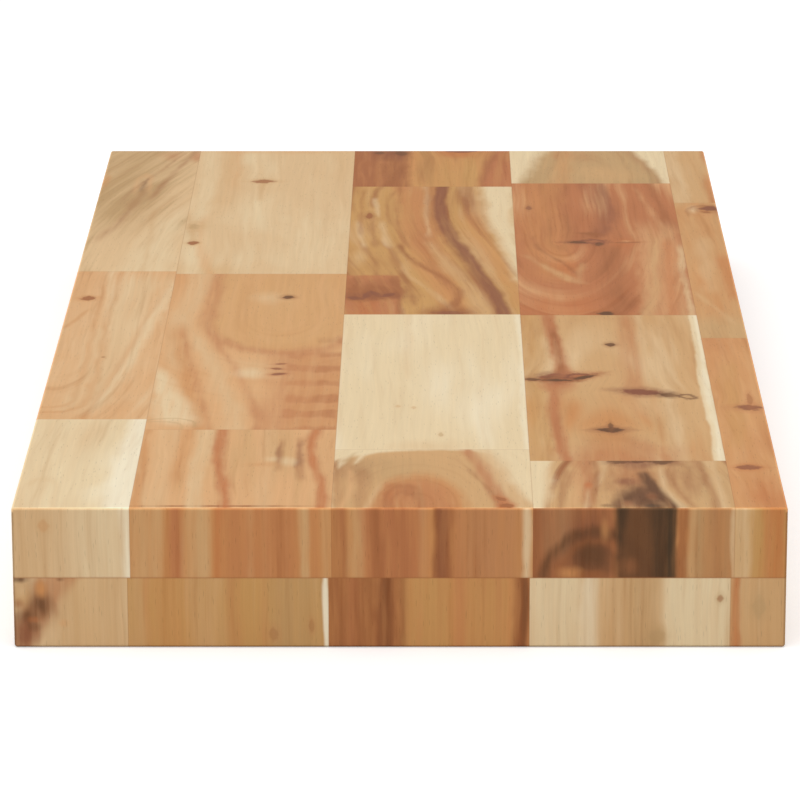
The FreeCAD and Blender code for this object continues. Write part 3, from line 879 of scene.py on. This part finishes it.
# here the second measure is the height above the stave's underside
FRONT_ENDS = {
    "upper_stave_a1": end_figure("cream", "sand", "sand", marks=[
        streak("tan", 0.5, 2, 14, soft=6), streak("cream", 0.6, 23, 12, soft=5),
        streak("white", 0.7, [30, 29.8], 2.4)], knots=[
        knot((8.3, 14), (1.8, 1.8), heart="amber", rim="tan", strength=0.35)]),
    "upper_stave_b1": end_figure("tan", "amber", "amber", marks=[
        streak("tan", 0.7, 4, 9, soft=2), streak("clay", 0.75, [11.8, 12.1], 3.4),
        streak("tan", 0.5, 15.4, 3, soft=1.4), streak("tan", 0.85, 18.8, 4.4, soft=1.1),
        streak("rust", 0.5, 22.6, 2), streak("clay", 0.5, 34, 20, soft=4),
        streak("chestnut", 0.2, 39, 3, soft=1.6), streak("tan", 0.3, 31, 1.4, soft=1),
        streak("tan", 0.9, [45.2, 45], 2.4, soft=1), streak("clay", 0.4, 48, 2.4),
        streak("tan", 0.4, 50.8, 3)]),
    "upper_stave_c1": end_figure("amber", "amber", "clay", marks=[
        streak("chestnut", 0.45, 1.8, 4.4, soft=1.1), streak("tan", 0.65, 6.6, 4, soft=1.4),
        streak("clay", 0.85, 16, 16, soft=2.4), streak("chestnut", 0.6, 11.4, 3, soft=1.4),
        streak("chestnut", 0.2, 17, 7, soft=2.4), streak("tan", 0.3, 23.6, 1.6),
        streak("chestnut", 0.85, [28.8, 29.4], 5, soft=1.3), streak("plum", 0.5, [28.4, 29], 2.6),
        streak("clay", 0.6, 40, 18, soft=3), streak("olive", 0.2, 42, 18, soft=3),
        streak("chestnut", 0.2, 37.4, 1.4, soft=1), streak("cream", 0.6, [50.6, 50.4], 2.4, soft=1)]),
    # the dark heart of the forked streak, with walnut bands beside it
    "upper_stave_d1": end_figure("amber", "amber", "clay", marks=[
        streak("clay", 0.96, 9, 26, soft=2), streak("umber", 0.4, 10, 26, soft=5),
        streak("chestnut", 0.6, 0.8, 2, soft=0.8), patch("plum", 0.75, (14, 9), (10, 9)),
        streak("tan", 0.22, 6.6, 7, soft=3, span=(9, 22), fade=6),
        patch("umber", 0.95, (15.4, 6.4), (8, 7)),
        arch("chestnut", 0.45, 17, -2, 12, 13, thick=1.8, soft=1.3),
        arch("umber", 0.7, 16.4, -2, 15, 16, thick=2.6, soft=1.3),
        patch("amber", 0.9, (9.6, 1.2), (3.8, 2.4)), patch("chestnut", 0.6, (15.4, 1), (4, 1.4)),
        streak("umber", 0.96, 28.4, 14, soft=1.6), patch("amber", 0.55, (18.6, 13), (1.7, 4)),
        patch("clay", 0.5, (21.4, 8.4), (1.8, 2.6)), patch("clay", 0.25, (24.6, 3), (3, 3)),
        streak("walnut", 0.75, [22.4, 23], (2, 3.6), soft=1.3, span=(9, 22), fade=5),
        streak("walnut", 0.7, [33.8, 33.4], (5, 7.4), soft=1.6),
        streak("walnut", 0.8, [35.8, 35.6], 2.6, soft=0.7), streak("olive", 0.45, 46, 12, soft=2),
        streak("chestnut", 0.25, 46, 14, soft=2), streak("chestnut", 0.65, 38.5, 2.8, soft=0.8),
        streak("tan", 0.6, 41, 2, soft=0.9), streak("olive", 0.5, 43, 1.8, soft=0.8),
        streak("chestnut", 0.3, 47.8, 2.2), streak("sand", 0.8, [51.7, 51.6], 1.4, soft=0.7)]),
    "upper_stave_e1": end_figure("tan", "honey", "amber", marks=[
        streak("sand", 0.7, 1.8, 4.4, soft=1.4), streak("rust", 0.6, 10.4, 5.4, soft=1.8)]),
    # the dark corner, in flecks of brown and orange
    "lower_stave_a1": end_figure("sand", "sand", "tan", marks=[
        streak("honey", 0.3, 20, 16, soft=5), streak("clay", 0.55, [2, 6.4, 12.4], (6, 9), soft=2.6),
        patch("chestnut", 0.7, (5, 11), (7, 9)), patch("chestnut", 0.6, (1.4, 4), (6, 6)),
        patch("umber", 0.75, (6.8, 11.6), (4, 4.4)), patch("umber", 0.6, (3.4, 8.4), (4, 2.4)),
        patch("plum", 0.6, (2.2, 4), (5, 4.6)), patch("umber", 0.5, (5.4, 5.8), (2.4, 1.6)),
        patch("tan", 1.0, (2.4, 14.4), (3, 4.4)), patch("sand", 0.5, (2.2, 15.4), (1.8, 2.2)),
        patch("chestnut", 0.6, (1.4, 12), (1.6, 1.6)), patch("umber", 0.8, (1.6, 18.6), (2.8, 1.2)),
        patch("amber", 0.9, (7.3, 16), (2, 2.8)), patch("rust", 0.4, (5.4, 7.7), (2, 1.1)),
        patch("umber", 0.5, (12.6, 18.6), (1.4, 0.7)), patch("apricot", 0.6, (13.2, 6.6), (1.8, 1.2))]),
    "lower_stave_b1": end_figure("tan", "honey", "amber", marks=[
        streak("tan", 0.6, 2.6, 4.4, soft=2), streak("amber", 0.35, 11, 10, soft=4),
        streak("tan", 0.6, 21, 8, soft=2.4), streak("clay", 0.3, [27.6, 26.8], 2.6, soft=1.6),
        streak("olive", 0.45, 44, 14, soft=4), streak("white", 1.0, 51.3, 1.6, soft=0.5)], knots=[
        knot((37.6, 3.6), (1.4, 2.2), heart="chestnut", rim="clay", strength=0.3),
        knot((47.6, 6), (0.9, 2), heart="chestnut", rim="clay", strength=0.3)]),
    "lower_stave_c1": end_figure("honey", "amber", "clay", marks=[
        streak("chestnut", 0.75, 5.6, 13, soft=2), streak("clay", 0.4, 6, 2.4, soft=1.4),
        streak("chestnut", 0.9, 15, 6, soft=1.6), streak("umber", 0.3, 15, 3, soft=1.4),
        streak("chestnut", 0.8, 19.4, 2.2, soft=1), streak("honey", 0.7, 26, 12, soft=2.4),
        streak("clay", 0.4, 34, 2.2, soft=1.4), streak("honey", 0.5, 41, 10, soft=2),
        streak("chestnut", 0.9, [49.6, 50], 4.4, soft=1), streak("umber", 0.4, 50.6, 2)]),
    "lower_stave_d1": end_figure("cream", "sand", "sand", marks=[
        streak("cream", 0.7, 6, 14, soft=4), streak("white", 0.4, 15.6, 4, soft=2),
        streak("tan", 0.75, 26, 17, soft=2.4), streak("olive", 0.35, 30, 8, soft=3),
        streak("cream", 0.9, 43.6, 17, soft=1.8)], knots=[
        knot((33, 3), (2.4, 2.4), heart="olive", rim="olive", strength=0.6),
        knot((49.4, 13.4), (1, 1.3), heart="chestnut", rim="olive", strength=0.6)]),
    "lower_stave_e1": end_figure("sand", "tan", "honey", marks=[
        streak("rust", 0.7, 1.6, 2, soft=1)], knots=[
        knot((7.4, 11), (2, 3.4), heart="olive", rim="olive", strength=0.5, push=0.3)]),
}


# From figures to materials

def color_of(tones, name):
    """A named wood colour as a socket takes it."""
    return tuple(getattr(tones, name)) + (1.0,)


def curve_through(places):
    """The four terms of the smooth curve through one to four evenly spaced places."""
    if len(places) == 1:
        return places[0], 0.0, 0.0, 0.0
    if len(places) == 2:
        return places[0], places[1] - places[0], 0.0, 0.0
    if len(places) == 3:
        a, b, c = places
        return a, 4 * b - 3 * a - c, 2 * a - 4 * b + 2 * c, 0.0
    a, b, c, d = places
    return (a, 9 * b - 5.5 * a - 4.5 * c + d, 9 * a - 22.5 * b + 18 * c - 4.5 * d,
            4.5 * (3 * b - a - 3 * c + d))


def draw_figure(place, seed, look, tones, finish, ends):
    """The nodes of one figure. ends says that it lies on a sawn end, where z takes the place of y."""
    def color(name):
        return color_of(tones, name)

    def face_point(x, y):
        """A point of the figure on the face that shows it."""
        return (x, 0.0, y) if ends else (x, y, look["face"])

    def face_size(wide, deep):
        """The size of an oval mark on that face, and how far into the wood it goes."""
        return (wide, END_MARK_DEPTH, deep) if ends else (wide, deep, MARK_DEPTH)

    def along_grain(corner):
        """The same point or size where the grain of a sawn end has been turned upright."""
        return (corner[0], corner[2], corner[1]) if ends else corner

    wandering = use_group("Wandering grain", {
        "Position": place, "Seed": seed, "Sway": look["sway"], "Ripple": look["ripple"]})["Grain"]
    grain = wandering
    for mark in look["knots"]:
        reach = [half * share for half, share in zip(mark["size"], KNOT_REACH)]
        grain = use_group("Grain round a knot", {
            "Grain": grain, "Centre": face_point(*mark["at"]), "Reach": face_size(*reach),
            "Push": mark["push"]})["Grain"]

    if ends:
        # on a sawn end the lines stand upright
        wandering, grain = [join(x, z, y) for x, y, z in (split(wandering), split(grain))]
    across, along, _ = split(wandering)
    # the rings may run on a curve of their own
    rings_grain = grain
    if len(look["course"]) > 1:
        shift = on_curve(along / look["length"], *curve_through(look["course"]))
        rings_grain = grain - join(shift, 0.0, 0.0)
    light, middle, dark = look["tones"]
    rings = use_group("Growth rings", {
        "Grain": rings_grain, "Pith": look["pith"], "Lean": look["lean"], "Spacing": look["spacing"],
        "Seed": seed, "Contrast": look["contrast"], "Light": color(light), "Middle": color(middle),
        "Dark": color(dark)})
    painted = rings["Color"]

    ragged = (noise(wandering * (0.17, 0.07, 0.12), 2.0, 0.55) - 0.5) * 2.8
    uneven = ease(noise(rings_grain * (0.45, 0.035, 0.2)), 0.3, 0.6, 0.7, 1.1)
    for mark in look["marks"]:
        # all but the strongest marks come and go a little
        strength = mark["strength"] if mark["strength"] >= STEADY else uneven * mark["strength"]
        values = {"Color": painted, "Ragged": ragged, "Tone": color(mark["tone"]), "Strength": strength}
        if mark["kind"] == "Patch":
            values["Position"] = wandering
            values["Centre"] = along_grain(face_point(*mark["at"]))
            values["Size"] = along_grain(face_size(*mark["size"]))
        else:
            values.update({"Across": across, "Along": along}, **mark["values"])
        if mark["kind"] == "Streak":
            values["Begin"], values["Until"] = mark["span"] or (0.0, look["length"])
            values.update(zip(("At", "Slant", "Bend", "Twist"), curve_through(mark["path"])))
        painted = use_group(mark["kind"], values)["Color"]

    fine = use_group("Fine grain", {
        "Color": painted, "Rings": rings["Rings"], "Grain": rings_grain, "Seed": seed,
        "Veins": finish.veins * look["veins"], "Fibres": finish.fibres, "Pores": finish.pores})
    painted = fine["Color"]
    for mark in look["knots"]:
        painted = use_group("Knot", {
            "Color": painted, "Position": place, "Centre": face_point(*mark["at"]),
            "Size": face_size(*mark["size"]), "Turn": math.radians(-mark["turn"]),
            "Pointed": mark["pointed"],
            "Eye": mark["eye"], "Heart": color(mark["heart"]), "Rim": color(mark["rim"]),
            "Strength": mark["strength"]})["Color"]
    return painted, fine["Height"]


def millimetres(tree, corner):
    """How far a point lies from a corner, in millimetres along x, y and z."""
    coordinates = tree.nodes.new("ShaderNodeTexCoord")
    mapping = tree.nodes.new("ShaderNodeMapping")
    mapping.inputs["Scale"].default_value = (MM, MM, MM)
    mapping.inputs["Location"].default_value = -corner * MM
    tree.links.new(coordinates.outputs["Object"], mapping.inputs["Vector"])
    return Wire(mapping.outputs["Vector"])


def plain_figure(name, number, size):
    """The figure of a hidden stave, with its knots at places of their own."""
    wood = next((wood for wood, staves in PLAIN_STAVES.items() if name[-2:] in staves), "tan")
    look = dict(PLAIN_FIGURES[wood])
    look["knots"] = []
    for mark in PLAIN_FIGURES[wood]["knots"]:
        at = [(mark["at"][i] + KNOT_STEP[i] * number) % size[i] for i in range(2)]
        look["knots"].append(dict(mark, at=at))
    return look


def stave_material(name, number, tones, finish):
    """The wood of one stave, from its figure and its place in the slab."""
    low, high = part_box(name)
    size = (high - low) * MM
    layer = name.split("_")[0]
    material = bpy.data.materials.new(name)
    material.use_nodes = True
    tree = material.node_tree
    tree.nodes.clear()
    place = millimetres(tree, low)

    seed = SEED_STEP * number
    look = dict(FIGURES[name]) if name in FIGURES else plain_figure(name, number, size)
    look.update(length=size.y, face=size.z if layer == "upper" else 0.0)
    painted, height = draw_figure(place, seed, look, tones, finish, False)
    if name in FRONT_ENDS:
        look = dict(FRONT_ENDS[name], length=size.z)
        ends, _ = draw_figure(place, seed + END_SEED, look, tones, finish, True)
        painted = mix(ease_down(split(place)[1], *END_FADE), painted, ends)

    # only sides that meet another stave get a line of glue
    near = [-OUTSIDE if abs(low[i] - cad_low[i]) < SAME_PLANE else 0.0 for i in range(3)]
    far = [size[i] + OUTSIDE if abs(high[i] - cad_high[i]) < SAME_PLANE else size[i] for i in range(3)]
    in_layer = ((near[0], near[1], -OUTSIDE), (far[0], far[1], size.z + OUTSIDE))
    between_layers = ((-OUTSIDE, -OUTSIDE, near[2]), (size.x + OUTSIDE, size.y + OUTSIDE, far[2]))
    for box, line, strength in ((in_layer, finish.glue_line, GLUE_STRENGTH),
                                (between_layers, finish.layer_line, LAYER_STRENGTH[layer])):
        painted = use_group("Glue line", {
            "Color": painted, "Position": place, "Low": box[0], "High": box[1], "Width": line * MM,
            "Strength": strength, "Tone": color_of(tones, "chestnut")})["Color"]
    # a painted highlight along the edges of the top face and painted shade along the slab's other outer
    # edges
    painted = use_group("Eased edge", {
        "Color": painted, "Position": millimetres(tree, Vector((0.0, 0.0, 0.0))), "Low": cad_low * MM,
        "High": cad_high * MM, "Radius": finish.eased_edge * MM, "Paler": finish.edge_highlight,
        "Darker": finish.edge_shade})["Color"]

    shader = tree.nodes.new("ShaderNodeBsdfPrincipled")
    output = tree.nodes.new("ShaderNodeOutputMaterial")
    bump = tree.nodes.new("ShaderNodeBump")
    bump.inputs["Distance"].default_value = finish.relief
    feed(bump.inputs["Height"], height)
    feed(shader.inputs["Base Color"], painted)
    shader.inputs["Roughness"].default_value = finish.roughness
    shader.inputs["Specular IOR Level"].default_value = finish.gloss
    tree.links.new(bump.outputs["Normal"], shader.inputs["Normal"])
    tree.links.new(shader.outputs[0], output.inputs["Surface"])
    return material


def finish_layer(context, layer):
    """Gives every stave of a layer its own wood."""
    make_wood_groups()
    names = sorted(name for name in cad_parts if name.startswith(layer))
    if not names:
        raise RuntimeError("there are no staves in the %s layer" % layer)
    for number, name in enumerate(names, start=FIRST_NUMBER[layer]):
        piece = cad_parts[name]
        material = stave_material(name, number, context.scene.acacia_tones, context.scene.acacia_finish)
        piece.data.materials.clear()
        piece.data.materials.append(material)


# Operators

class TABLETOP_OT_upper_layer(Operator):
    """Finish the staves of the upper layer, which shows on the top face"""
    bl_idname = "tabletop.upper_layer"
    bl_label = "Upper layer"

    def execute(self, context):
        finish_layer(context, "upper")
        return {"FINISHED"}


class TABLETOP_OT_lower_layer(Operator):
    """Finish the staves of the lower layer"""
    bl_idname = "tabletop.lower_layer"
    bl_label = "Lower layer"

    def execute(self, context):
        finish_layer(context, "lower")
        return {"FINISHED"}


class TABLETOP_OT_stage(Operator):
    """Set up the floor, the light and the camera"""
    bl_idname = "tabletop.stage"
    bl_label = "Stage"

    def execute(self, context):
        setup = context.scene.acacia_stage
        make_floor(setup)
        make_light(context, setup)
        make_camera(context, setup)
        context.scene.view_settings.view_transform = "Standard"
        return {"FINISHED"}


# The stage

def seen_directly(tree):
    """One for rays from the camera and for reflected or transmitted ones, nought for scattered light."""
    rays = tree.nodes.new("ShaderNodeLightPath").outputs
    seen = calc("MAXIMUM", Wire(rays["Is Camera Ray"]), Wire(rays["Is Glossy Ray"]))
    return calc("MAXIMUM", seen, Wire(rays["Is Transmission Ray"]))


def make_floor(setup):
    """A wide pale floor under the slab, which keeps its shadow."""
    bpy.ops.object.select_all(action="DESELECT")
    bpy.ops.mesh.primitive_plane_add(size=FLOOR_SIZE, location=(0, 0, cad_low.z - FLOOR_GAP))
    floor = bpy.context.object
    floor.name = "floor"
    material = bpy.data.materials.new("floor")
    material.use_nodes = True
    tree = material.node_tree
    tree.nodes.clear()
    matt = tree.nodes.new("ShaderNodeBsdfDiffuse")
    matt.inputs["Color"].default_value = tuple(setup.floor) + (1.0,)
    glow = tree.nodes.new("ShaderNodeEmission")
    feed(glow.inputs["Strength"], seen_directly(tree) * FLOOR_GLOW)
    both = tree.nodes.new("ShaderNodeAddShader")
    output = tree.nodes.new("ShaderNodeOutputMaterial")
    tree.links.new(matt.outputs[0], both.inputs[0])
    tree.links.new(glow.outputs[0], both.inputs[1])
    tree.links.new(both.outputs[0], output.inputs["Surface"])
    floor.data.materials.append(material)


def make_light(context, setup):
    """Even light from all round and a large soft box overhead."""
    world = bpy.data.worlds.new("studio")
    context.scene.world = world
    world.use_nodes = True
    tree = world.node_tree
    tree.nodes.clear()
    sky = tree.nodes.new("ShaderNodeBackground")
    sky.inputs["Color"].default_value = (1.0, 1.0, 1.0, 1.0)
    # the background is white, while the light that it throws has the strength of the sky
    feed(sky.inputs["Strength"], seen_directly(tree) * (1.0 - setup.sky) + setup.sky)
    output = tree.nodes.new("ShaderNodeOutputWorld")
    tree.links.new(sky.outputs[0], output.inputs["Surface"])

    light = bpy.data.lights.new("soft_box", "AREA")
    light.shape = "SQUARE"
    light.size = LAMP_SIZE
    light.energy = setup.lamp
    lamp = bpy.data.objects.new("soft_box", light)
    lamp.location = LAMP_PLACE
    # it faces the middle of the slab's underside
    lamp.rotation_euler = (-Vector(LAMP_PLACE)).to_track_quat("-Z", "Y").to_euler()
    context.scene.collection.objects.link(lamp)


def make_camera(context, setup):
    """The view from the front and a little above."""
    lens = bpy.data.cameras.new("camera")
    lens.sensor_width = FRAME_WIDTH
    lens.lens = setup.lens
    lens.shift_x = setup.shift
    lens.clip_start = NEAREST_SEEN
    lens.clip_end = FARTHEST_SEEN
    camera = bpy.data.objects.new("camera", lens)
    camera.location = setup.camera_place
    camera.rotation_euler = (math.pi / 2 - setup.camera_dip, 0.0, 0.0)
    context.scene.collection.objects.link(camera)
    context.scene.camera = camera


# The sidebar

class TABLETOP_PT_panel(Panel):
    """The sidebar's list of what can be made"""
    bl_label = "Table top"
    bl_idname = "TABLETOP_PT_panel"
    bl_space_type = "VIEW_3D"
    bl_region_type = "UI"
    bl_category = "Table top"

    def draw(self, context):
        for step in STEPS:
            self.layout.operator(step)
        for group in (context.scene.acacia_tones, context.scene.acacia_finish, context.scene.acacia_stage):
            box = self.layout.box()
            for name in group.__annotations__:
                box.prop(group, name)


STEPS = ["tabletop.upper_layer", "tabletop.lower_layer", "tabletop.stage"]
CLASSES = [AcaciaTones, WoodFinish, StageSetup, TABLETOP_OT_upper_layer, TABLETOP_OT_lower_layer,
           TABLETOP_OT_stage, TABLETOP_PT_panel]


def register():
    for item in CLASSES:
        bpy.utils.register_class(item)
    bpy.types.Scene.acacia_tones = PointerProperty(type=AcaciaTones)
    bpy.types.Scene.acacia_finish = PointerProperty(type=WoodFinish)
    bpy.types.Scene.acacia_stage = PointerProperty(type=StageSetup)


def unregister():
    del bpy.types.Scene.acacia_tones
    del bpy.types.Scene.acacia_finish
    del bpy.types.Scene.acacia_stage
    for item in reversed(CLASSES):
        bpy.utils.unregister_class(item)


def main():
    register()
    bpy.ops.tabletop.upper_layer()
    bpy.ops.tabletop.lower_layer()
    bpy.ops.tabletop.stage()


if __name__ == "__main__":
    main()
